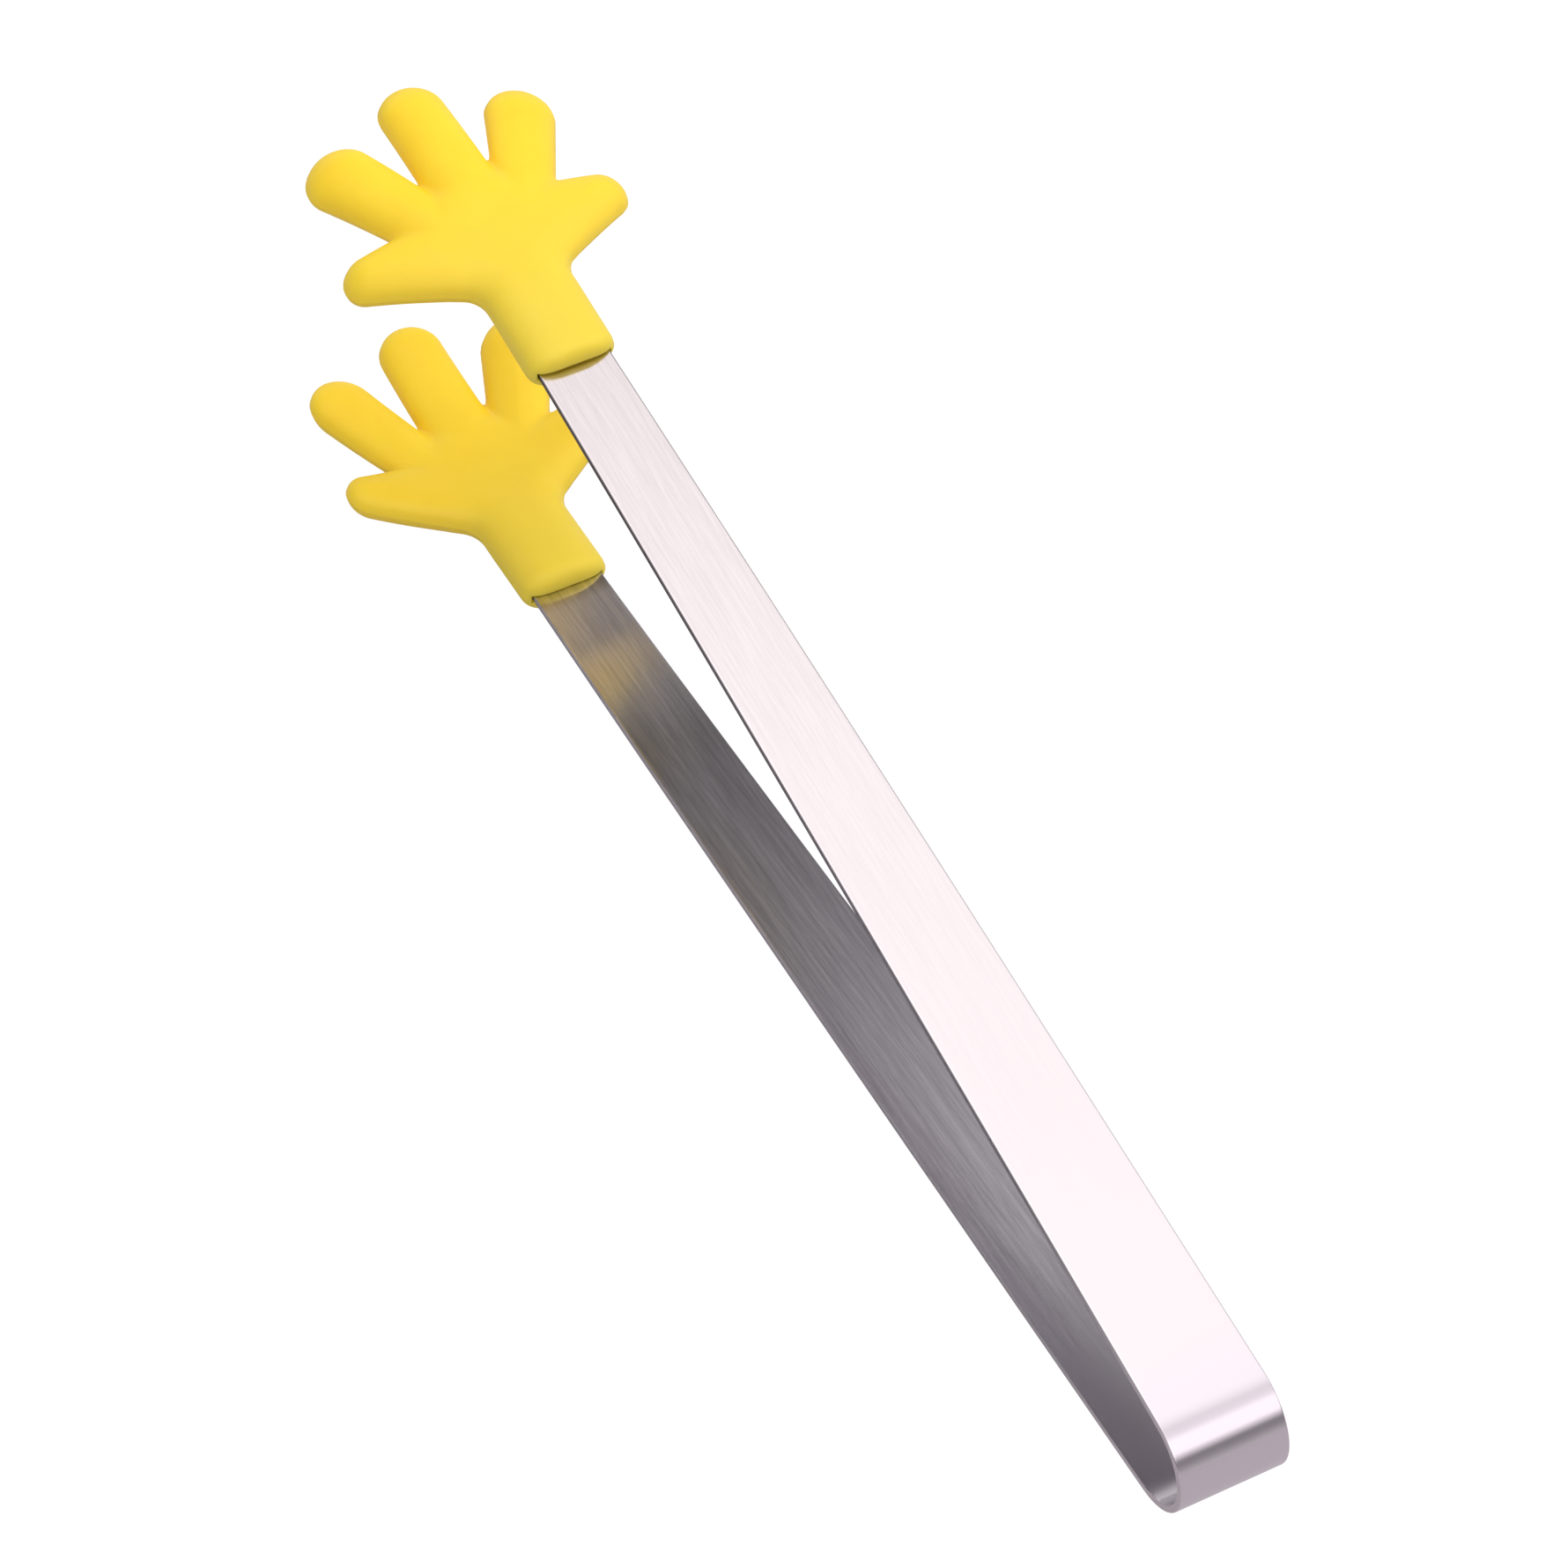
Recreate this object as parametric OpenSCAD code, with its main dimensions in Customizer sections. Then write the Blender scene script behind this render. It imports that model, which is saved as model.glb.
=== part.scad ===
// Small hand-shaped kitchen tongs.
// One steel strip is bent into a spring bow with two splayed arms, and a moulded silicone
// hand is pushed onto each end of it.
// Frame: origin at the centre of the bow, +X towards the hands, +Y across the strip,
// +Z from the lower arm to the upper arm.
// The arms flex. Each is cut into rigid lengths that meet at a hairline gap on a flex line.

/* [Steel strip] */
// Width of the strip around the bow
strip_w = 10; // [8:0.5:14]
// Width of the strip where it enters the hand
strip_end_w = 6.8; // [5.5:0.1:7]
// Thickness of the strip
strip_t = 0.7; // [0.5:0.05:1]

/* [Spring bow] */
// Radius of the bow at the middle of the strip's thickness
bow_r = 4.9; // [4:0.1:7]
// Angle of each arm off the middle plane where it leaves the bow
splay = 5.8; // [4:0.1:8]

/* [Arms] */
// Length of each arm from the bow to the hand
arm_len = 109.8; // [95:0.1:125]
// Angle of each arm off the middle plane where it enters the hand
end_splay = 4.4; // [3:0.1:6]
// Length of strip hidden inside each hand
tang_len = 15; // [10:0.5:17]

/* [Hands] */
// Width of the wrist
wrist_w = 8.6; // [8:0.1:10]
// Thickness of the wrist
wrist_t = 4.8; // [4:0.1:5.4]
// Radius of the palm
palm_r = 7.8; // [7:0.1:8.5]
// Thickness of the palm
palm_t = 4.3; // [4:0.1:5]
// Distance of the palm's centre from the end of the wrist
palm_x = 16; // [15:0.1:17]
// Thickness of a finger
finger_t = 4.1; // [3.8:0.1:4.6]

/* [Hidden] */
$fn = 96;
steel = [0.80, 0.78, 0.81];
silicone = [0.98, 0.82, 0.20];

flex_gap = 0.3;       // hairline between two rigid lengths of an arm
root_flex = 5.5;      // arm length at which the inner flex line lies
mid_flex = 35;        // arm length at which the outer flex line lies
segment = 2.5;        // length of one straight facet of an arm's curve
slot_play = 0.05;     // gap between the strip and each wall of its slot
wrist_corner = 1.9;   // radius of the wrist's long edges
wrist_tail = 13;      // length of the wrist, its root inside the palm
palm_drop = 0.2;      // offset of the palm's centre towards the other hand

// Each finger: [root x, y], [tip centre x, y], [root radius, tip radius], tip offset to the other hand
fingers = [
    [[15, 0], [31.9, 0], [3.4, 3.15], 1.3],
    [[16, 3.2], [28.1, 8.7], [2.9, 3.25], 1.8],
    [[16, -3.2], [28.1, -8.7], [2.9, 3.25], 1.8],
    [[14.5, 3], [17.1, 11.4], [4.3, 2.35], 1.8],
    [[14.5, -3], [17.1, -11.4], [4.3, 2.35], 1.8]
];

// An arm's centre line: straight at the splay angle, with a cubic sag towards the middle plane.
function sag(s) = -(splay - end_splay) * PI / 180 * s * s * s / (3 * arm_len * arm_len);
function tangent_point() = bow_r * [-sin(splay), cos(splay)];
function arm_point(s, off) =
    tangent_point() + s * [cos(splay), sin(splay)]
    + (sag(s) + off) * [-sin(splay), cos(splay)];
function strip_width(s) = strip_w + (strip_end_w - strip_w) * s / arm_len;
function steps(a, b) = [for (i = [0 : ceil((b - a) / segment)]) min(b, a + i * segment)];
function reversed(v) = [for (i = [len(v) - 1 : -1 : 0]) v[i]];

// Side view of one arm between two arm lengths
module arm_side(a, b) {
    s = steps(a, b);
    polygon(concat(
        [for (v = s) arm_point(v, strip_t / 2)],
        [for (v = reversed(s)) arm_point(v, -strip_t / 2)]
    ));
}

// Plan view of one arm between two arm lengths, a little longer at both ends
module arm_plan(a, b) {
    x0 = arm_point(a, 0)[0] - strip_t;
    x1 = arm_point(b, 0)[0] + strip_t;
    w0 = strip_width(a);
    w1 = strip_width(b);
    polygon([[x0, -w0 / 2], [x1, -w1 / 2], [x1, w1 / 2], [x0, w0 / 2]]);
}

// A rigid length of the upper arm
module arm_length(a, b) {
    intersection() {
        rotate([90, 0, 0]) linear_extrude(strip_w + 2, center = true) arm_side(a, b);
        linear_extrude(4 * bow_r + arm_len) arm_plan(a, b);
    }
}

// The bent end of the strip, with a short stub of each arm up to its first flex line
module bow_arc() {
    rotate([90, 0, 0])
        rotate_extrude(angle = 180 - 2 * splay, start = 90 + splay)
            translate([bow_r - strip_t / 2, -strip_w / 2])
                square([strip_t, strip_w]);
}

module spring_bow() {
    color(steel) {
        bow_arc();
        arm_length(0, root_flex - flex_gap / 2);
        mirror([0, 0, 1]) arm_length(0, root_flex - flex_gap / 2);
    }
}

module arm_inner() {
    color(steel) arm_length(root_flex + flex_gap / 2, mid_flex - flex_gap / 2);
}

module arm_outer() {
    color(steel) arm_length(mid_flex + flex_gap / 2, arm_len + tang_len);
}

// A finger: a round-ended rod with its front and back cut flat, dropping towards its tip
module finger(f) {
    root = f[0];
    run = f[1] - f[0];
    rise = f[3] - palm_drop;
    reach = norm([run[0], run[1], rise]);
    translate([root[0], root[1], -palm_drop])
        rotate([0, asin(rise / reach), atan2(run[1], run[0])])
            intersection() {
                rotate([0, 90, 0]) rounded_rod(f[2][0], f[2][1], reach);
                translate([0, -palm_r, -finger_t / 2])
                    cube([reach + palm_r, 2 * palm_r, finger_t]);
            }
}

// A rod along +Z from the origin, tapering from r0 to r1, with a half ball on its end
module rounded_rod(r0, r1, l) {
    rotate_extrude()
        union() {
            polygon([[0, 0], [r0, 0], [r1, l], [0, l]]);
            intersection() {
                translate([0, l]) circle(r1);
                translate([0, l]) square(r1);
            }
        }
}

// The palm: a thick disc with a full round rim
module palm() {
    edge = palm_t / 2;
    translate([palm_x, 0, -palm_drop])
        rotate_extrude() {
            translate([0, -edge]) square([palm_r - edge, palm_t]);
            intersection() {
                translate([palm_r - edge, 0]) circle(edge);
                translate([palm_r - edge, -edge]) square([edge, palm_t]);
            }
        }
}

module rounded_bar(w, t, r) {
    square([w - 2 * r, t], center = true);
    square([w, t - 2 * r], center = true);
    for (sx = [-1, 1], sy = [-1, 1])
        translate([sx * (w / 2 - r), sy * (t / 2 - r)]) circle(r);
}

// The slot that grips the strip, open at the end of the wrist
module strip_slot() {
    w0 = strip_width(arm_len) + 2 * slot_play;
    w1 = strip_width(arm_len + tang_len) + 2 * slot_play;
    deep = tang_len + slot_play;
    linear_extrude(strip_t + 2 * slot_play, center = true)
        polygon([[-1, -w0 / 2], [deep, -w1 / 2], [deep, w1 / 2], [-1, w0 / 2]]);
}

// One hand, its wrist starting at the origin and its fingers towards +X
module hand_shape() {
    difference() {
        union() {
            rotate([90, 0, 90])
                linear_extrude(wrist_tail) rounded_bar(wrist_w, wrist_t, wrist_corner);
            palm();
            for (f = fingers) finger(f);
        }
        strip_slot();
    }
}

module placed_hand() {
    at = arm_point(arm_len, 0);
    color(silicone)
        translate([at[0], 0, at[1]]) rotate([0, -end_splay, 0]) hand_shape();
}

module upper_arm_inner() { arm_inner(); }
module upper_arm_outer() { arm_outer(); }
module upper_hand() { placed_hand(); }
module lower_arm_inner() { mirror([0, 0, 1]) arm_inner(); }
module lower_arm_outer() { mirror([0, 0, 1]) arm_outer(); }
module lower_hand() { mirror([0, 0, 1]) placed_hand(); }

spring_bow();
upper_arm_inner();
upper_arm_outer();
lower_arm_inner();
lower_arm_outer();
upper_hand();
lower_hand();
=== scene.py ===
"""Small hand-shaped kitchen tongs: one bent steel strip and two moulded silicone hands."""
import itertools
import math

import bpy
import numpy as np
from mathutils import Matrix, Vector


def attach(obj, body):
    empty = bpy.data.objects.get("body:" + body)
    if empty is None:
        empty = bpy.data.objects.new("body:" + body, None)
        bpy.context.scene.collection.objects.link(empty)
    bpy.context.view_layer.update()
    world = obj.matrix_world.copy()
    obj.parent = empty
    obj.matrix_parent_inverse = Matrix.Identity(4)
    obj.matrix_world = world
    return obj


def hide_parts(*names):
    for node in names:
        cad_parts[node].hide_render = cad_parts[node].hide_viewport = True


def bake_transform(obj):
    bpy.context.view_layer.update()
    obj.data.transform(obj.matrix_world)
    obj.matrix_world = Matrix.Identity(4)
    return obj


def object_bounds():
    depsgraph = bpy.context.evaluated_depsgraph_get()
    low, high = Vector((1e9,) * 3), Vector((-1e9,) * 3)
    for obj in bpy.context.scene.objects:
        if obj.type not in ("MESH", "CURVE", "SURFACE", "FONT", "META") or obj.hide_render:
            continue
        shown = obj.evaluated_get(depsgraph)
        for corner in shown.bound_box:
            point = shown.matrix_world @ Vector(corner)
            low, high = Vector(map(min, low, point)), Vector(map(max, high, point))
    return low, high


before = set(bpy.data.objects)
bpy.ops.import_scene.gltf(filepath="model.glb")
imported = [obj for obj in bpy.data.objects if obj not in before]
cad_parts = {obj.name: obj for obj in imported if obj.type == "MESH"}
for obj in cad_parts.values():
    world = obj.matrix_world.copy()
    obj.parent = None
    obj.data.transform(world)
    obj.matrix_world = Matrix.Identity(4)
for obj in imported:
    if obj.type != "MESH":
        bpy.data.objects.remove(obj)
cad_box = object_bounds()

MM = 0.001

# ---------------------------------------------------------------- shape of the strip, as in the CAD
# Lengths are in millimetres.
STRIP_W = 10.0                 # width at the bow
STRIP_END_W = 6.8              # width where it enters a hand
STRIP_T = 0.7                  # thickness
BOW_R = 4.9                    # radius of the bow at mid thickness
SPLAY = math.radians(5.8)      # an arm's angle off the middle plane at the bow
END_SPLAY = math.radians(4.4)  # the same at the hand
ARM_LEN = 109.8                # from the bow to the hand
TANG_LEN = 15.0                # hidden in the hand
HALF_BOW = BOW_R * (math.pi / 2 - SPLAY)  # from the middle of the bow to the start of an arm

# What only the visible strip has
EDGE_R = 0.12                  # rounding of the long edges
EDGE_STEPS = 4                 # straight steps in that rounding
FLAT_INSET = 0.1               # from the rounding to the first point on the flat
STATION = 0.5                  # spacing of the sections along the strip
OUTER, INNER, SHEARED = range(3)  # the strip's material slots, in the order of STEEL


def arm_point(s):
    """Centre line of the upper arm at arm length s, as (x, z, heading)."""
    sag = -(SPLAY - END_SPLAY) * s ** 3 / (3 * ARM_LEN ** 2)
    heading = SPLAY - (SPLAY - END_SPLAY) * (s / ARM_LEN) ** 2
    c, n = math.cos(SPLAY), math.sin(SPLAY)
    return (-BOW_R * n + s * c - sag * n, BOW_R * c + s * n + sag * c, heading)


def strip_point(s):
    """Centre line of the strip's upper half: s below 0 runs round the bow."""
    if s >= 0:
        return arm_point(s)
    turn = -s / BOW_R
    at = math.pi / 2 + SPLAY + turn
    return (BOW_R * math.cos(at), BOW_R * math.sin(at), SPLAY + turn)


def strip_width(s):
    """Width of the strip at arm length s, full round the bow and tapering along the arm."""
    return STRIP_W + (STRIP_END_W - STRIP_W) * max(s, 0) / ARM_LEN


# ---------------------------------------------------------------- meshes of the strip
def mesh_object(name, verts, faces, materials, sharp_deg):
    """An object from points in millimetres, smooth except along edges sharper than an angle."""
    mesh = bpy.data.meshes.new(name)
    mesh.from_pydata([tuple(v) for v in np.asarray(verts) * MM], [], faces)
    mesh.validate()
    mesh.shade_smooth()
    mesh.set_sharp_from_angle(angle=math.radians(sharp_deg))
    for material in materials:
        mesh.materials.append(material)
    ob = bpy.data.objects.new(name, mesh)
    bpy.context.scene.collection.objects.link(ob)
    return ob


def strip_section(width):
    """Outline of the strip across its length, as (across, out): rounded edges, true flats."""
    pts = []
    flat = width / 2 - EDGE_R - FLAT_INSET
    for cx, cz, start in ((1, 1, 0), (-1, 1, 90), (-1, -1, 180), (1, -1, 270)):
        arc = []
        for k in range(EDGE_STEPS + 1):
            a = math.radians(start + 90 * k / EDGE_STEPS)
            arc.append((cx * (width / 2 - EDGE_R) + EDGE_R * math.cos(a),
                        cz * (STRIP_T / 2 - EDGE_R) + EDGE_R * math.sin(a)))
        inner = (cx * flat, cz * STRIP_T / 2)
        pts += arc + [inner] if cx == cz else [inner] + arc
    return pts


def strip_mesh(name, s0, s1, side):
    """One length of the strip, swept between two arm lengths. side is 1 above, -1 below."""
    stations = np.linspace(s0, s1, max(2, int(round((s1 - s0) / STATION)) + 1))
    verts, faces, uvs = [], [], []
    for s in stations:
        x, z, heading = strip_point(s)
        nx, nz = -math.sin(heading), math.cos(heading)
        for across, out in strip_section(strip_width(s)):
            verts.append((x + nx * out, across, side * (z + nz * out)))
            uvs.append((across / STRIP_W + 0.5, s / STRIP_W))
    rings = len(stations)
    n = len(verts) // rings
    for i in range(rings - 1):
        for j in range(n):
            a, b = i * n + j, i * n + (j + 1) % n
            faces.append((a, b, b + n, a + n))
    faces.append(tuple(range(n - 1, -1, -1)))
    faces.append(tuple(range((rings - 1) * n, rings * n)))
    if side > 0:
        faces = [tuple(reversed(f)) for f in faces]
    ob = mesh_object(name, verts, faces, STEEL, sharp_deg=40)
    for k, poly in enumerate(ob.data.polygons):
        inward = n // 2 <= k % n < n - 1  # a section's second half is on the inner face
        poly.material_index = INNER if inward else OUTER
        if abs(poly.normal.y) > 0.9:
            poly.material_index = SHEARED
    layer = ob.data.uv_layers.new(name="across_along")
    for loop in ob.data.loops:
        layer.data[loop.index].uv = uvs[loop.vertex_index]
    return ob


# ---------------------------------------------------------------- the silicone hand
# A hand's own coordinates are u along it from the wrist's open end, v across it and n outwards.
WRIST_HALF = 4.3           # half width of the wrist
WRIST_THICK = 2.4          # half thickness of the wrist
WRIST_MID = 6.0            # middle of the wrist's outline, which runs on into the palm
WRIST_REACH = 9.0          # half length of that outline
PALM_AT = 15.8             # palm centre from the end of the wrist
PALM_R = 7.05              # palm radius
HAND_THICK = 2.05          # half thickness of palm and fingers
THINNING = (7.0, 14.0)     # stretch over which the wrist turns into the palm
CURL = 0.0048              # curl of the palm and fingers along the hand
CUP = 0.0131               # and across it
CUPPED = (7.0, 13.0)       # stretch over which the curl across sets in
WRIST_ROUND = 3.8          # how far in from its outline the wrist is rounded
HAND_ROUND = 3.3           # the same for palm and fingers
FULLNESS = 2.2             # exponent of the rounding, where 2 is an ellipse
INSET = 0.09               # the skin lies this far inside its outline
PARTING_RISE = 0.07        # height of the parting line round the edge
PARTING_HALF = 0.22        # half width of the parting line
RIM_R = 0.8                # rounding of the wrist's open end
WRIST_WEB = 1.3            # blend between wrist and palm
FINGER_WEB = 0.8           # blend between palm and fingers
# root (along, across), tip centre (along, across), root radius, tip radius
FINGERS = (
    ((15.0, 0.0), (31.9, 0.0), 3.45, 3.14),
    ((16.3, 3.4), (28.1, 8.75), 2.6, 3.25),
    ((16.3, -3.4), (28.1, -8.75), 2.6, 3.25),
    ((15.3, 4.2), (17.1, 11.45), 4.3, 2.3),
    ((15.3, -4.2), (17.1, -11.45), 4.3, 2.3),
)
# Play between the slot and the strip
SLOT_ROOF = 0.09           # over the strip's edges
SLOT_ARCH = 0.12           # more than that over its middle
SLOT_ARCH_HALF = 3.9       # half width of the arch
SLOT_FLOOR = 0.03          # under the strip
SLOT_SIDE = 0.12           # beside it
SLOT_END = 0.3             # beyond its end
SLOT_EDGE = 0.15           # blend at the slot's mouth


def smooth_min(a, b, k):
    """The smaller of a and b, blended where they are less than k apart."""
    h = np.maximum(k - np.abs(a - b), 0) / k
    return np.minimum(a, b) - h * h * k / 4


def smooth_step(x, a, b):
    """Rises smoothly from 0 at a to 1 at b."""
    t = np.clip((x - a) / (b - a), 0, 1)
    return t * t * (3 - 2 * t)


def finger_outline(u, v, root, tip, r0, r1):
    """Distance in the plane to a round-ended taper from root to tip."""
    axis = np.array(tip) - np.array(root)
    length = np.hypot(*axis)
    axis = axis / length
    du, dv = u - root[0], v - root[1]
    x = du * axis[0] + dv * axis[1]
    y = np.abs(dv * axis[0] - du * axis[1])
    b = (r0 - r1) / length
    a = math.sqrt(1 - b * b)
    k = a * x - b * y
    near = np.hypot(x, y) - r0
    far = np.hypot(x - length, y) - r1
    side = a * y + b * x - r0
    return np.where(k < 0, near, np.where(k > a * length, far, side))


def hand_outline(u, v):
    """Distance in the plane to the hand's outline, negative inside."""
    d = np.hypot(u - PALM_AT, v) - PALM_R
    for root, tip, r0, r1 in FINGERS:
        d = smooth_min(d, finger_outline(u, v, root, tip, r0, r1), FINGER_WEB)
    wrist = np.maximum(np.abs(u - WRIST_MID) - WRIST_REACH, np.abs(v) - WRIST_HALF)
    return smooth_min(d, wrist, WRIST_WEB)


def cup(u, v):
    """How far the hand curls towards the other hand."""
    return CURL * np.maximum(u - PALM_AT, 0) ** 2 + CUP * v * v * smooth_step(u, *CUPPED)


def slot_field(u, v, n):
    """The slot for the strip, with a slightly arched roof, negative inside."""
    roof = STRIP_T / 2 + SLOT_ROOF + SLOT_ARCH * np.maximum(1 - (v / SLOT_ARCH_HALF) ** 2, 0)
    bottom = -(STRIP_T / 2 + SLOT_FLOOR)
    height = np.maximum(n - roof, bottom - n)
    plan = np.maximum(np.abs(v) - STRIP_END_W / 2 - SLOT_SIDE, u - TANG_LEN - SLOT_END)
    return np.maximum(height, plan)


def hand_field(p):
    """A hand as a field over rows of (u, v, n), negative inside."""
    u, v, n = p[:, 0], p[:, 1], p[:, 2]
    t = smooth_step(u, *THINNING)
    half = WRIST_THICK + (HAND_THICK - WRIST_THICK) * t
    edge = WRIST_ROUND + (HAND_ROUND - WRIST_ROUND) * t
    middle = n + cup(u, v)
    parting = PARTING_RISE * np.exp(-(middle / PARTING_HALF) ** 2)
    across = np.maximum((hand_outline(u, v) + INSET - parting) / edge + 1, 0)
    lift = np.abs(middle) / half
    body = (np.power(across ** FULLNESS + lift ** FULLNESS, 1 / FULLNESS) - 1) * half
    body = -smooth_min(-body, u, 2 * RIM_R)
    return -smooth_min(-body, slot_field(u, v, n), SLOT_EDGE)


# ---------------------------------------------------------------- mesh of a field
def slopes(field, p, h=0.02):
    """Gradient of a field at each point, by central differences."""
    out = np.empty_like(p)
    for i in range(3):
        step = np.zeros(3)
        step[i] = h
        out[:, i] = (field(p + step) - field(p - step)) / (2 * h)
    return out


def relax(verts, faces, amount):
    """Each vertex moves part of the way to the mean of its neighbours."""
    total = np.zeros_like(verts)
    count = np.zeros(len(verts))
    for k in range(4):
        a, b = faces[:, k], faces[:, (k + 1) % 4]
        np.add.at(total, a, verts[b])
        np.add.at(total, b, verts[a])
        np.add.at(count, a, 1)
        np.add.at(count, b, 1)
    return verts + amount * (total / count[:, None] - verts)


def pull(field, verts, rounds, reach=0.1, least=0.2):
    """Moves the points onto the field's zero level, in short steps along its slope."""
    for _ in range(rounds):
        g = slopes(field, verts)
        move = field(verts) / np.maximum((g * g).sum(1), least)
        verts = verts - np.clip(move, -reach, reach)[:, None] * g
    return verts


def graded(*runs):
    """Grid lines from runs of (start, end, spacing) laid end to end."""
    lines = [np.linspace(a, b, int(round((b - a) / step)), endpoint=False) for a, b, step in runs]
    return np.concatenate(lines + [[runs[-1][1]]])


def iso_surface(field, axes):
    """Quads round the zero level of a field, by surface nets, then pulled onto it."""
    grid = np.stack(np.meshgrid(*axes, indexing="ij"), -1)
    value = field(grid.reshape(-1, 3)).reshape(grid.shape[:3])
    inside = value < 0
    cells = tuple(n - 1 for n in value.shape)
    total = np.zeros(cells + (3,))
    count = np.zeros(cells)
    quads = []
    for axis in range(3):
        others = [i for i in range(3) if i != axis]
        near = tuple(slice(None, -1) if i == axis else slice(None) for i in range(3))
        far = tuple(slice(1, None) if i == axis else slice(None) for i in range(3))
        crossed = inside[near] != inside[far]
        share = np.where(crossed, value[near] / np.where(crossed, value[near] - value[far], 1), 0)
        spacing = np.diff(axes[axis]).reshape([-1 if i == axis else 1 for i in range(3)])
        at = grid[near].copy()
        at[..., axis] += share * spacing
        # each crossing counts for the four cells round its grid line
        for ends in itertools.product((slice(None, -1), slice(1, None)), repeat=2):
            cell = [slice(None)] * 3
            cell[others[0]], cell[others[1]] = ends
            total += (at * crossed[..., None])[tuple(cell)]
            count += crossed[tuple(cell)]
        where = np.argwhere(crossed)
        inner = [(where[:, i] > 0) & (where[:, i] < cells[i]) for i in others]
        where = where[np.all(inner, axis=0)]
        e0, e1 = np.eye(3, dtype=int)[others]
        ring = np.stack([where - e0 - e1, where - e1, where, where - e0], 1)
        outwards = inside[near][tuple(where.T)] != (axis == 1)
        ring[~outwards] = ring[~outwards][:, ::-1]
        quads.append(ring)
    has = count > 0
    index = np.full(cells, -1)
    index[has] = np.arange(has.sum())
    verts = total[has] / count[has][:, None]
    quads = np.concatenate(quads)
    faces = index[quads[..., 0], quads[..., 1], quads[..., 2]]
    for _ in range(2):
        verts = pull(field, relax(verts, faces, 0.5), 2)
    return pull(field, verts, 4), faces


def hand_mesh(name, shape, side):
    """One hand, its points placed at the end of an arm. side is 1 above, -1 below."""
    verts, faces = shape
    x, z, heading = arm_point(ARM_LEN)
    c, s = math.cos(heading), math.sin(heading)
    u, v, n = verts.T
    placed = np.stack([x + u * c - n * s, v, side * (z + u * s + n * c)], 1)
    if side < 0:
        faces = faces[:, ::-1]
    return mesh_object(name, placed, faces.tolist(), (yellow,), sharp_deg=60)


# ---------------------------------------------------------------- material helpers
def node_material(name):
    """A node material that holds only a Principled shader, as (material, tree, shader)."""
    mat = bpy.data.materials.new(name)
    mat.use_nodes = True
    nt = mat.node_tree
    nt.nodes.clear()
    out = nt.nodes.new("ShaderNodeOutputMaterial")
    bsdf = nt.nodes.new("ShaderNodeBsdfPrincipled")
    nt.links.new(bsdf.outputs[0], out.inputs[0])
    return mat, nt, bsdf


def add(nt, kind, **props):
    """A new node with the given properties, and inputs as a dictionary of constants."""
    node = nt.nodes.new(kind)
    inputs = props.pop("inputs", {})
    for key, value in props.items():
        setattr(node, key, value)
    for key, value in inputs.items():
        node.inputs[key].default_value = value
    return node


def noise(nt, scale, detail=2.0, stretch=(1, 1, 1), rough=0.5):
    """Noise over object coordinates in metres, stretched per axis."""
    coords = add(nt, "ShaderNodeTexCoord")
    mapping = add(nt, "ShaderNodeMapping", inputs={"Scale": stretch})
    inputs = {"Scale": scale, "Detail": detail, "Roughness": rough}
    tex = add(nt, "ShaderNodeTexNoise", inputs=inputs)
    nt.links.new(coords.outputs["Object"], mapping.inputs["Vector"])
    nt.links.new(mapping.outputs[0], tex.inputs["Vector"])
    return tex.outputs["Fac"]


def remap(nt, value, lo, hi, a=0.0, b=1.0):
    """Goes from lo to hi while the value goes from a to b, and holds beyond them."""
    inputs = {"From Min": a, "From Max": b, "To Min": lo, "To Max": hi}
    node = add(nt, "ShaderNodeMapRange", inputs=inputs)
    nt.links.new(value, node.inputs["Value"])
    return node.outputs["Result"]


def spread(nt, value, lo=0, hi=1):
    """The middle range of a noise, spread from lo to hi."""
    return remap(nt, value, lo, hi, 0.3, 0.7)


def mix_colour(nt, factor, a, b):
    """Colour a where the factor is 0 and b where it is 1; each is a tuple or a socket."""
    node = add(nt, "ShaderNodeMix", data_type="RGBA")
    nt.links.new(factor, node.inputs["Factor"])
    for key, value in (("A", a), ("B", b)):
        socket = [i for i in node.inputs if i.name == key and i.type == "RGBA"][0]
        if isinstance(value, tuple):
            socket.default_value = value + (1,)
        else:
            nt.links.new(value, socket)
    return [o for o in node.outputs if o.type == "RGBA"][0]


def along_object(nt, start, end, axis="X"):
    """0 before start and 1 after end, along one axis in metres."""
    coords = add(nt, "ShaderNodeTexCoord")
    xyz = add(nt, "ShaderNodeSeparateXYZ")
    nt.links.new(coords.outputs["Object"], xyz.inputs[0])
    return remap(nt, xyz.outputs[axis], 0.0, 1.0, start, end)


def times(nt, a, b):
    """The product of two sockets."""
    node = add(nt, "ShaderNodeMath", operation="MULTIPLY")
    nt.links.new(a, node.inputs[0])
    nt.links.new(b, node.inputs[1])
    return node.outputs[0]


# ---------------------------------------------------------------- materials of the tongs
# Where a look changes along X, from the first figure to the second, in metres
ARM_TONE = (-0.002, 0.005)     # the bow's painted reflection tint gives way to the arm's tone
HAZE_IN = (0.088, 0.100)       # the steel grows duller near the hand
HAZE_OUT = (0.1084, 0.1068)    # and is bright again where it enters the hand
BOW_EDGE_HIGHLIGHT = (-0.002, 0.022)    # the painted highlight on the edge round the bow gives way to grey
EDGE_SHADE_DEEPENS = (0.035, 0.095)     # the painted shade on the upper arm's edge deepens towards the hand
WRIST_SHADE = (0.130, 0.114)    # from bare silicone to the wrist's duller olive yellow, which is painted shade
UPPER_HALF = (-0.001, 0.001)   # the same across Z, from the lower arm's grey edge to the upper arm's edge in painted shade


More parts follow.
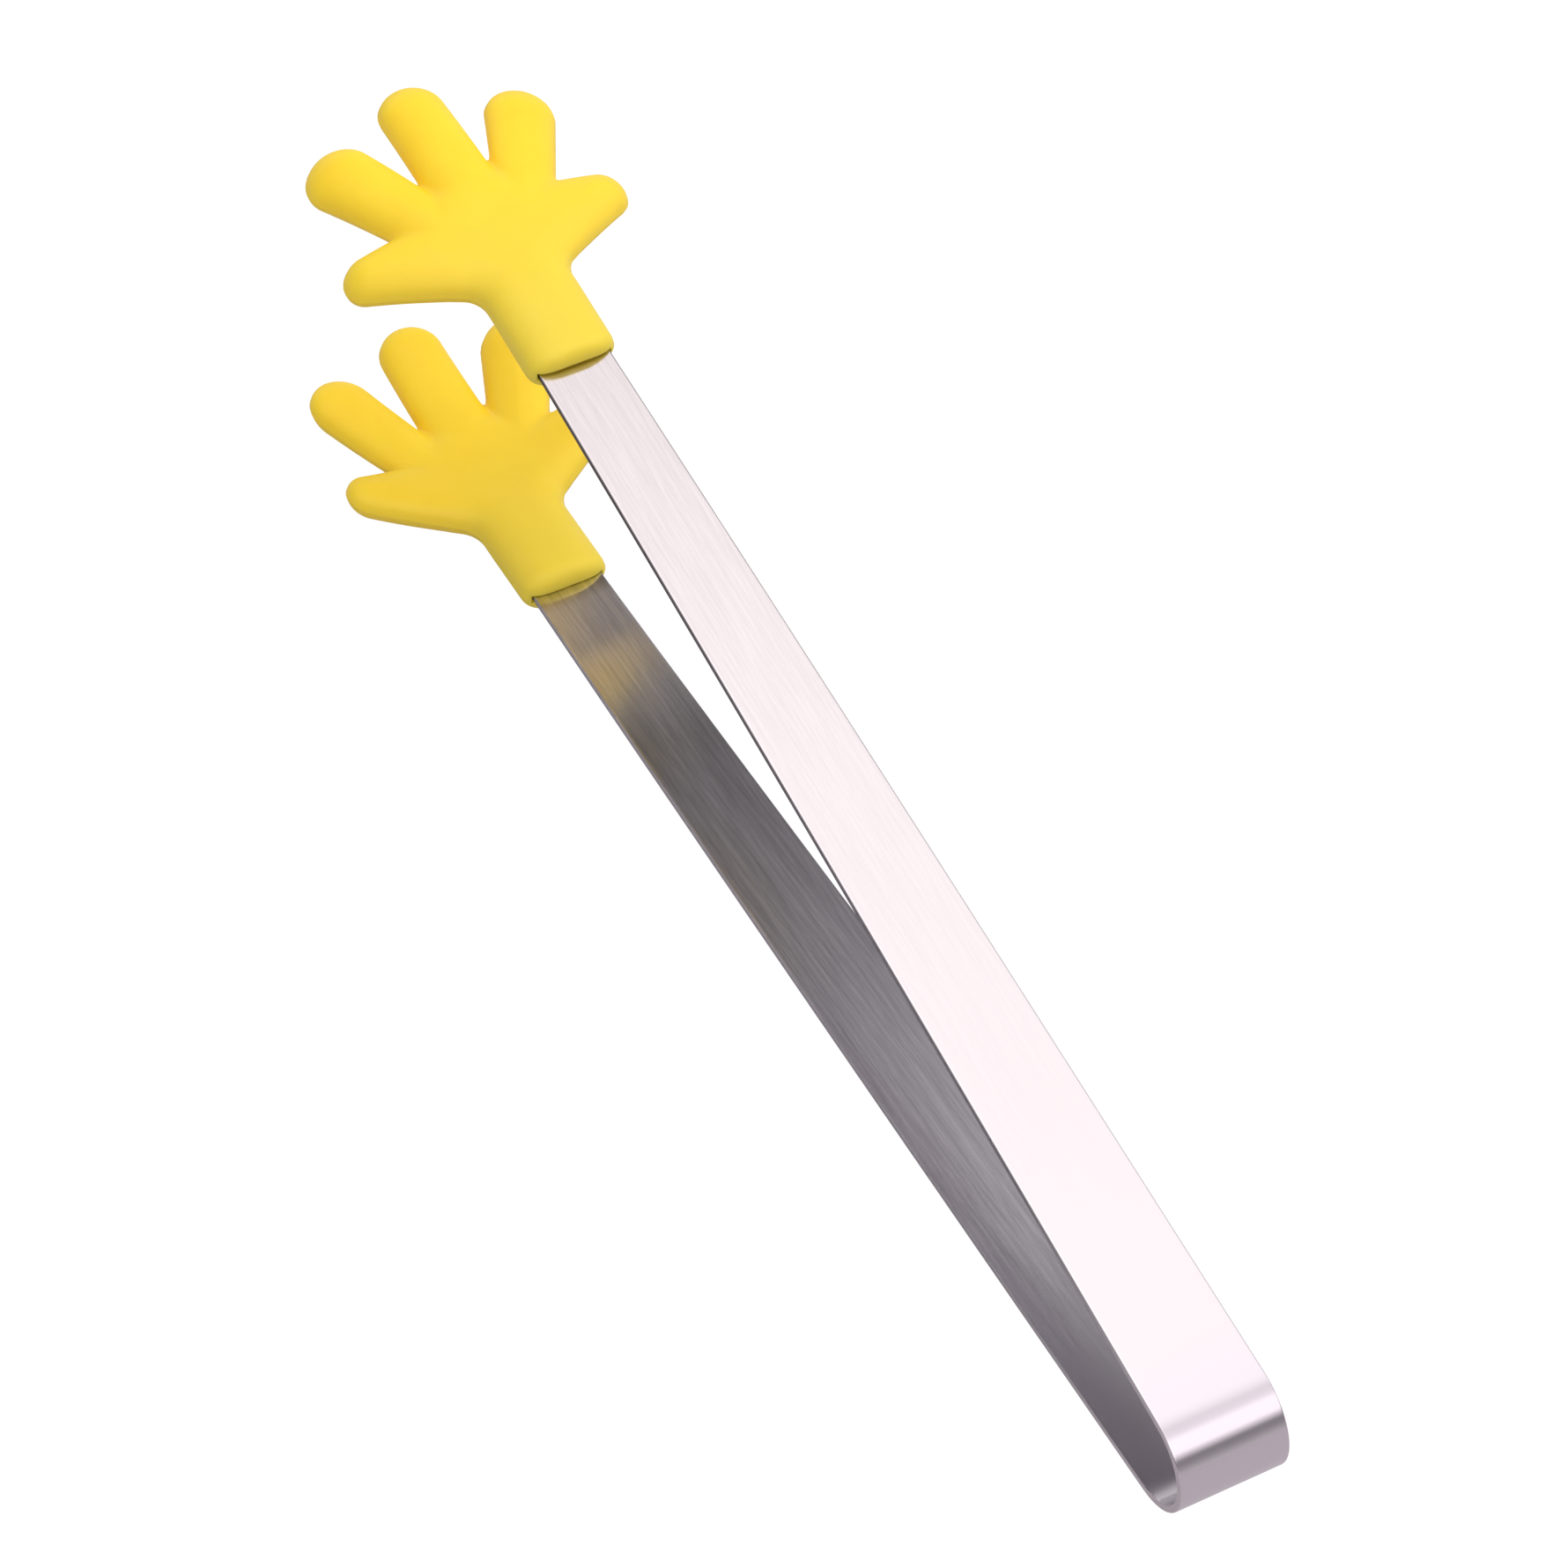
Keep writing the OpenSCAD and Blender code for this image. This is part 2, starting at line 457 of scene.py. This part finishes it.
def steel_face(name, bow, plain, stroke_dark, stroke_light, brushed_from, haze):
    """One face of the steel strip: plain at the bow, where its lavender tint is a painted
    reflection tint, and brushed lengthwise towards the hands.
    """
    mat, nt, bsdf = node_material(name)
    strokes = noise(nt, 1.0, detail=3.0, stretch=(150, 3600, 60), rough=0.6)
    broad = noise(nt, 1.0, stretch=(70, 1100, 60))
    brushed = along_object(nt, *brushed_from)
    streaky = mix_colour(nt, spread(nt, strokes), stroke_dark, stroke_light)
    # The bow's lavender tint is a painted reflection tint; the arm keeps the plain steel colour.
    smooth = mix_colour(nt, along_object(nt, *ARM_TONE), bow, plain)
    nt.links.new(mix_colour(nt, brushed, smooth, streaky), bsdf.inputs["Base Color"])
    nt.links.new(spread(nt, broad, 0.17, 0.20), bsdf.inputs["Roughness"])
    bump = add(nt, "ShaderNodeBump", inputs={"Strength": 0.1, "Distance": 0.000004})
    nt.links.new(times(nt, broad, brushed), bump.inputs["Height"])
    nt.links.new(bump.outputs[0], bsdf.inputs["Normal"])
    tangent = add(nt, "ShaderNodeTangent", direction_type="UV_MAP", uv_map="across_along")
    nt.links.new(tangent.outputs[0], bsdf.inputs["Tangent"])
    duller = times(nt, along_object(nt, *HAZE_IN), along_object(nt, *HAZE_OUT))
    nt.links.new(remap(nt, duller, 1.0, 1 - haze), bsdf.inputs["Metallic"])
    bsdf.inputs["Anisotropic"].default_value = 0.87
    bsdf.inputs["Specular IOR Level"].default_value = 0.3
    return mat


def sheared_edge():
    """The edge that shearing leaves on the strip: a painted highlight round the bow, grey on the
    lower arm, and painted shade on the upper arm that deepens towards the hand.
    """
    mat, nt, bsdf = node_material("steel_edge")
    grain = noise(nt, 1.0, detail=3.0, stretch=(2200, 400, 2200), rough=0.6)
    speckle = spread(nt, grain)
    # The lower arm's edge is grey; the upper arm's edge is darker, with painted shade that deepens
    # towards the hand.
    lower = mix_colour(nt, speckle, (0.34, 0.32, 0.35), (0.46, 0.44, 0.47))
    upper_edge_shade_near = mix_colour(nt, speckle, (0.16, 0.15, 0.17), (0.30, 0.28, 0.31))
    upper_edge_shade_far = mix_colour(nt, speckle, (0.04, 0.034, 0.04), (0.13, 0.12, 0.13))
    upper = mix_colour(nt, along_object(nt, *EDGE_SHADE_DEEPENS), upper_edge_shade_near, upper_edge_shade_far)
    edge_shade = mix_colour(nt, along_object(nt, *UPPER_HALF, "Z"), lower, upper)
    # Painted highlight: the edge is lighter round the bow.
    tone = mix_colour(nt, along_object(nt, *BOW_EDGE_HIGHLIGHT), (0.62, 0.58, 0.62), edge_shade)
    nt.links.new(tone, bsdf.inputs["Base Color"])
    nt.links.new(spread(nt, grain, 0.42, 0.55), bsdf.inputs["Roughness"])
    bsdf.inputs["Metallic"].default_value = 1.0
    return mat


def rare_specks(nt):
    """A small dot in about 6 cells out of a hundred: 0.8 at its centre, 0 elsewhere."""
    coords = add(nt, "ShaderNodeTexCoord")
    cells = add(nt, "ShaderNodeTexVoronoi", inputs={"Scale": 330.0})
    nt.links.new(coords.outputs["Object"], cells.inputs["Vector"])
    dot = remap(nt, cells.outputs["Distance"], 1.0, 0.0, 0.035, 0.06)
    lot = add(nt, "ShaderNodeSeparateColor")
    nt.links.new(cells.outputs["Color"], lot.inputs[0])
    return times(nt, dot, remap(nt, lot.outputs[0], 0, 0.8, 0.93, 0.94))


def silicone():
    """Satin yellow silicone, a little translucent, with painted shade: a duller olive yellow over
    the wrist.
    """
    mat, nt, bsdf = node_material("yellow_silicone")
    cloud = noise(nt, 160.0, detail=3.0)
    tone = mix_colour(nt, spread(nt, cloud), (0.95, 0.664, 0.023), (0.98, 0.714, 0.031))
    # Painted shade: the wrist is a duller olive yellow than the palm and fingers.
    tone = mix_colour(nt, along_object(nt, *WRIST_SHADE), tone, (0.85, 0.660, 0.056))
    tone = mix_colour(nt, rare_specks(nt), tone, (0.22, 0.12, 0.01))
    nt.links.new(tone, bsdf.inputs["Base Color"])
    nt.links.new(spread(nt, cloud, 0.40, 0.50), bsdf.inputs["Roughness"])
    grain = noise(nt, 5200.0, detail=3.0)
    bump = add(nt, "ShaderNodeBump", inputs={"Strength": 0.15, "Distance": 0.00003})
    nt.links.new(grain, bump.inputs["Height"])
    nt.links.new(bump.outputs[0], bsdf.inputs["Normal"])
    bsdf.inputs["Subsurface Weight"].default_value = 0.35
    bsdf.inputs["Subsurface Radius"].default_value = (0.9, 0.8, 0.2)
    bsdf.inputs["Subsurface Scale"].default_value = 0.0023
    bsdf.inputs["IOR"].default_value = 1.41
    return mat


# ---------------------------------------------------------------- the tongs
steel_outside = steel_face(
    "steel_outside", bow=(0.665, 0.617, 0.668), plain=(0.67, 0.64, 0.645),
    stroke_dark=(0.60, 0.565, 0.567), stroke_light=(0.67, 0.635, 0.632),
    brushed_from=(0.015, 0.085), haze=0.05)
# The inner faces are darker and duller than the outer ones. This is partly a duller finish and
# partly painted shade for the darker surroundings they reflect.
steel_inside = steel_face(
    "steel_inside", bow=(0.50, 0.475, 0.51), plain=(0.48, 0.46, 0.49),
    stroke_dark=(0.51, 0.497, 0.53), stroke_light=(0.71, 0.693, 0.73),
    brushed_from=(0.006, 0.026), haze=0.2)
STEEL = (steel_outside, steel_inside, sheared_edge())
yellow = silicone()

SEAM = 20.0                # arm length where the bow's skin meets the arm's
# The grid is finer at the slot's mouth, the wrist's corners and the parting line.
HAND_GRID = (
    graded((-0.8, 1.2, 0.1), (1.2, 36, 0.24)),
    graded((-14.4, -4.4, 0.25), (-4.4, -3.2, 0.12), (-3.2, 3.2, 0.2),
           (3.2, 4.4, 0.12), (4.4, 14.4, 0.25)),
    graded((-6.4, -0.7, 0.19), (-0.7, 0.7, 0.1), (0.7, 3.5, 0.2)),
)


shape = iso_surface(hand_field, HAND_GRID)
for side, word in ((1, "upper"), (-1, "lower")):
    bow = strip_mesh("bow_skin_" + word, -HALF_BOW, SEAM, side)
    arm = strip_mesh(word + "_arm_skin", SEAM, ARM_LEN + TANG_LEN, side)
    hand = hand_mesh(word + "_hand_skin", shape, side)
    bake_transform(bow)
    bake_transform(arm)
    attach(hand, word + "_outer")
    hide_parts("spring_bow", word + "_arm_inner")
    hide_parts(word + "_arm_outer")
    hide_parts(word + "_hand")

# ---------------------------------------------------------------- floor and light
TABLE_Z = -27.5            # in millimetres, clear of the lower hand when the arms are pulled apart
# lean of a direction from straight up towards +X in degrees, brightness
BANKS = (
    (-90, 0.62), (-74, 0.33), (-65, 0.28), (-57, 0.88), (-50, 1.50), (-28, 1.52), (-18, 1.14),
    (-6, 1.06), (5, 1.30), (14, 1.46), (24, 1.44), (31, 1.32), (34, 0.18), (37, 0.12), (39, 0.70),
    (40.8, 0.84), (42.2, 0.10), (44, 0.0), (48, 0.20), (60, 0.60), (90, 1.00),
)
# how far a direction points along +Y, from -1 to 1, and the gain there
ACROSS = ((-1, 0.9), (-0.75, 1.0), (-0.33, 1.0), (-0.08, 1.35), (0.2, 1.2), (0.5, 0.74), (1, 0.5))
HEADROOM = 2.0             # a ramp's colours are stored divided by this, so that they stay below 1
BACKDROP = 1.07            # brightness of the world where the camera sees it


def direction(azimuth, elevation):
    """Unit vector in the CAD frame; azimuth is measured from +X towards +Y, in degrees."""
    a, e = math.radians(azimuth), math.radians(elevation)
    return Vector((math.cos(a) * math.cos(e), math.sin(a) * math.cos(e), math.sin(e)))


def pale_floor():
    """A white table, almost shadowless to the eye and greyer in reflections."""
    mat, nt, bsdf = node_material("floor_pale")
    bsdf.inputs["Base Color"].default_value = (0.54, 0.52, 0.54, 1)
    bsdf.inputs["Roughness"].default_value = 0.9
    glow = add(nt, "ShaderNodeEmission", inputs={"Color": (1, 1, 1, 1), "Strength": 0.97})
    bright = add(nt, "ShaderNodeBsdfDiffuse", inputs={"Color": (0.08, 0.08, 0.08, 1)})
    nt.links.new(remap(nt, noise(nt, 3.0), 0.28, 0.30), bright.inputs["Roughness"])
    both = add(nt, "ShaderNodeAddShader")
    nt.links.new(glow.outputs[0], both.inputs[0])
    nt.links.new(bright.outputs[0], both.inputs[1])
    path = add(nt, "ShaderNodeLightPath")
    pick = add(nt, "ShaderNodeMixShader")
    nt.links.new(path.outputs["Is Camera Ray"], pick.inputs[0])
    nt.links.new(bsdf.outputs[0], pick.inputs[1])
    nt.links.new(both.outputs[0], pick.inputs[2])
    out = next(n for n in nt.nodes if n.type == "OUTPUT_MATERIAL")
    nt.links.new(pick.outputs[0], out.inputs[0])
    return mat


def table_at(height):
    """A level table under the tongs."""
    bpy.ops.mesh.primitive_plane_add(size=6)
    table = bpy.context.object
    table.name = "floor"
    table.location = (0, 0, height)
    table.data.materials.append(pale_floor())


def softbox(name, azimuth, elevation, size, distance, radiance, tint):
    """A square lamp aimed at the middle of the tongs, left out of reflections."""
    data = bpy.data.lights.new(name, "AREA")
    data.shape = "SQUARE"
    data.size = size
    data.energy = radiance * math.pi * size ** 2
    data.color = tint
    lamp = bpy.data.objects.new(name, data)
    bpy.context.scene.collection.objects.link(lamp)
    towards = direction(azimuth, elevation)
    centre = Vector((cad_box[0] + cad_box[1]) / 2)
    lamp.location = centre + towards * distance
    lamp.rotation_euler = towards.to_track_quat("Z", "Y").to_euler()
    lamp.visible_glossy = False


def grey_ramp(nt, value, stops):
    """A ramp over a value from 0 to 1, with its stops in rising order, as (position, level)."""
    ramp = add(nt, "ShaderNodeValToRGB")
    nt.links.new(value, ramp.inputs[0])
    elements = ramp.color_ramp.elements
    for k, (at, level) in enumerate(stops):
        stop = elements[k] if k < 2 else elements.new(at)
        stop.position = at
        grey = level / HEADROOM
        stop.color = (grey, grey, grey, 1)
    return ramp.outputs["Color"]


def studio_world():
    """Soft overhead light in two long banks that run across the tongs, in a dim room."""
    world = bpy.data.worlds.new("studio")
    bpy.context.scene.world = world
    world.use_nodes = True
    nt = world.node_tree
    coords = add(nt, "ShaderNodeTexCoord")
    xyz = add(nt, "ShaderNodeSeparateXYZ")
    nt.links.new(coords.outputs["Generated"], xyz.inputs[0])
    lean = add(nt, "ShaderNodeMath", operation="ARCTAN2")
    nt.links.new(xyz.outputs["X"], lean.inputs[0])
    nt.links.new(xyz.outputs["Z"], lean.inputs[1])
    banks = grey_ramp(nt, remap(nt, lean.outputs[0], 0, 1, -math.pi, math.pi),
                      [(degrees / 360 + 0.5, level) for degrees, level in BANKS])
    across = grey_ramp(nt, remap(nt, xyz.outputs["Y"], 0, 1, -1, 1),
                       [(y / 2 + 0.5, gain) for y, gain in ACROSS])
    whole = add(nt, "ShaderNodeMath", operation="MULTIPLY", inputs={1: HEADROOM ** 2})
    nt.links.new(times(nt, banks, across), whole.inputs[0])
    path = add(nt, "ShaderNodeLightPath")
    seen = add(nt, "ShaderNodeMix", data_type="FLOAT", inputs={3: BACKDROP})
    nt.links.new(path.outputs["Is Camera Ray"], seen.inputs[0])
    nt.links.new(whole.outputs[0], seen.inputs[2])
    background = nt.nodes["Background"]
    background.inputs["Color"].default_value = (1.0, 0.955, 0.975, 1)
    nt.links.new(seen.outputs[0], background.inputs["Strength"])


table_at(TABLE_Z * MM)
softbox("softbox_right", azimuth=-76, elevation=55, size=0.30, distance=0.7, radiance=3.0,
        tint=(1.0, 0.98, 1.0))
studio_world()

# ---------------------------------------------------------------- camera
SENSOR = 36                # sensor width in millimetres
LENS = 142.5               # focal length in millimetres
VIEW_FROM = (148.116, 52.456)  # azimuth and elevation of the camera, in degrees
VIEW_ROLL = math.radians(4.487)
VIEW_TARGET = Vector((71.152, -0.857, -0.206)) * MM
VIEW_DISTANCE = 527.986 * MM

camera_data = bpy.data.cameras.new("camera")
camera = bpy.data.objects.new("camera", camera_data)
bpy.context.scene.collection.objects.link(camera)
camera_data.sensor_width = SENSOR
camera_data.lens = LENS
camera_data.clip_start = 0.01
camera_data.clip_end = 10
back = direction(*VIEW_FROM)
aim = (-back).to_track_quat("-Z", "Y").to_matrix().to_4x4()
camera.matrix_world = (Matrix.Translation(VIEW_TARGET + back * VIEW_DISTANCE) @ aim
                       @ Matrix.Rotation(VIEW_ROLL, 4, "Z"))
bpy.context.scene.camera = camera

bpy.context.scene.view_settings.view_transform = "Standard"
